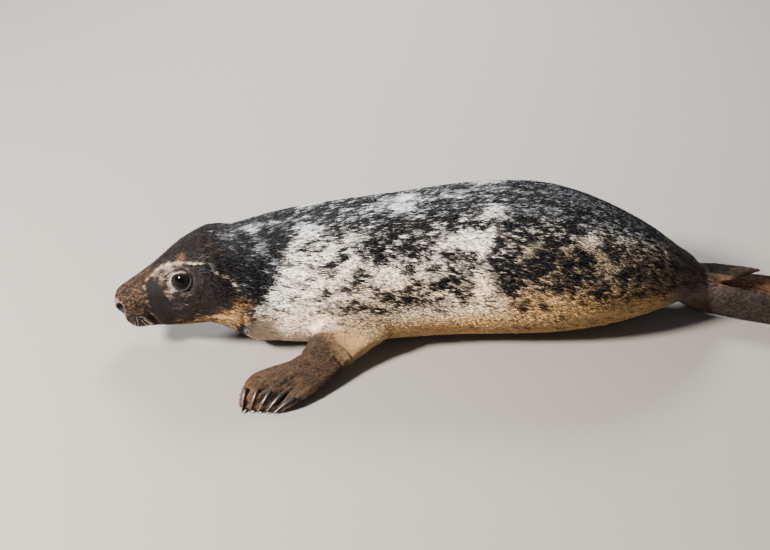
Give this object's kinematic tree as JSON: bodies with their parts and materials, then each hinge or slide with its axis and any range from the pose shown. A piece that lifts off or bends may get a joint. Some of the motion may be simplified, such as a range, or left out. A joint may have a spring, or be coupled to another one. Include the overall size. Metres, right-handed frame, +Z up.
{
  "type": "grey seal",
  "caption": "Young grey seal lying on its belly, head low and stretched forward, fore flippers spread beside the chest, hind flippers trailing.",
  "frame": {"origin": "on the floor under the middle of the model's box", "axes": "+X from head to hind flippers, +Z up, left flank faces -Y"},
  "size_m": [1.2514, 0.531, 0.2499],
  "materials": {
    "fur": "short flat coat, dark blotches on silver and tan",
    "eye": "wet black gloss",
    "claw": "dark horn, satin"
  },
  "bodies": {
    "root": {"head": "fur", "neck": "fur", "chest": "fur", "belly": "fur", "rump": "fur", "tail": "fur", "fore_flipper_left": "fur", "fore_flipper_right": "fur", "hind_flipper_left": "fur", "hind_flipper_right": "fur", "eye_left": "eye", "eye_right": "eye", "fore_claw_left_1": "claw", "fore_claw_left_2": "claw", "fore_claw_left_3": "claw", "fore_claw_left_4": "claw", "fore_claw_left_5": "claw", "fore_claw_right_1": "claw", "fore_claw_right_2": "claw", "fore_claw_right_3": "claw", "fore_claw_right_4": "claw", "fore_claw_right_5": "claw", "hind_claw_left_1": "claw", "hind_claw_left_2": "claw", "hind_claw_left_3": "claw", "hind_claw_left_4": "claw", "hind_claw_left_5": "claw", "hind_claw_right_1": "claw", "hind_claw_right_2": "claw", "hind_claw_right_3": "claw", "hind_claw_right_4": "claw", "hind_claw_right_5": "claw"}
  },
  "joints": []
}
